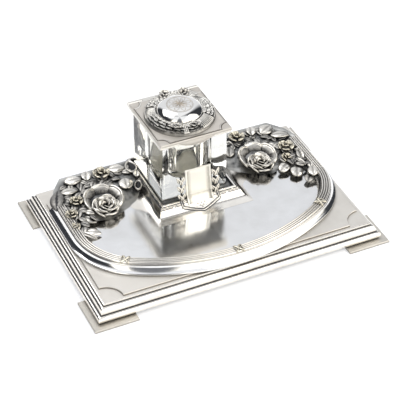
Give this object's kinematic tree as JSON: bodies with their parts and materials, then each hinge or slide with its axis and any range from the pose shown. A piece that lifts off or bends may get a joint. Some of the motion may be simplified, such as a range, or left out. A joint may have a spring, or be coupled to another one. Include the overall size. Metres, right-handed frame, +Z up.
{
  "type": "desk inkstand with glass inkwell",
  "caption": "Silver-plated desk inkstand: a moulded plinth on corner feet, an oval pen tray with a reeded rim and rose relief, and a square glass inkwell with a hinged domed lid.",
  "frame": {"origin": "middle of the resting rectangle of the four feet, on the surface it stands on", "axes": "+X along the stand's long side, towards the right-hand rose; +Y from the pen tray in front to the hinge at the back; +Z up"},
  "size_m": [0.25, 0.1656, 0.0896],
  "materials": {
    "silver_plate": "silver plate, soft polish with fine scratches and darker tarnish in the grooves",
    "satin_silver": "silver plate with a satin surface, worn smooth",
    "relief_silver": "cast silver-plated relief, bright on the high parts and oxidised dark in the recesses",
    "polished_silver": "polished silver plate with light hairline scratches",
    "clear_glass": "clear pressed and polished glass",
    "brass": "unplated turned brass",
    "steel": "drawn wire"
  },
  "bodies": {
    "stand": {"plinth": "silver_plate", "foot_front_left": "silver_plate", "foot_front_right": "silver_plate", "foot_back_left": "silver_plate", "foot_back_right": "silver_plate", "pen_tray": "satin_silver", "tray_rim": "silver_plate", "rim_ties": "silver_plate", "rose_panel_left": "relief_silver", "rose_panel_right": "relief_silver", "rose_left": "relief_silver", "rose_right": "relief_silver", "leaves_left": "relief_silver", "leaves_right": "relief_silver", "blossoms_left": "relief_silver", "blossoms_right": "relief_silver", "pedestal": "silver_plate", "holder_frame": "silver_plate", "plaque": "satin_silver", "laurel_left": "relief_silver", "laurel_right": "relief_silver", "holder_studs": "brass", "holder_washers": "brass", "holder_nuts": "brass"},
    "well": {"glass_well": "clear_glass", "mount_plate": "silver_plate", "hinge_pin": "steel"},
    "lid": {"lid_plate": "satin_silver", "lid_wreath": "relief_silver", "wreath_roses": "relief_silver", "lid_dome": "polished_silver", "lid_liner": "satin_silver"}
  },
  "joints": [
    {"name": "well_lift", "type": "slide", "parent": "stand", "child": "well", "axis": [0, 0, 1], "range_m": [0, 0.06]},
    {"name": "lid_hinge", "type": "hinge", "parent": "well", "child": "lid", "pos_m": [0, 0.075, 0.0756], "axis": [-1, 0, 0], "range_deg": [0, 105]}
  ]
}
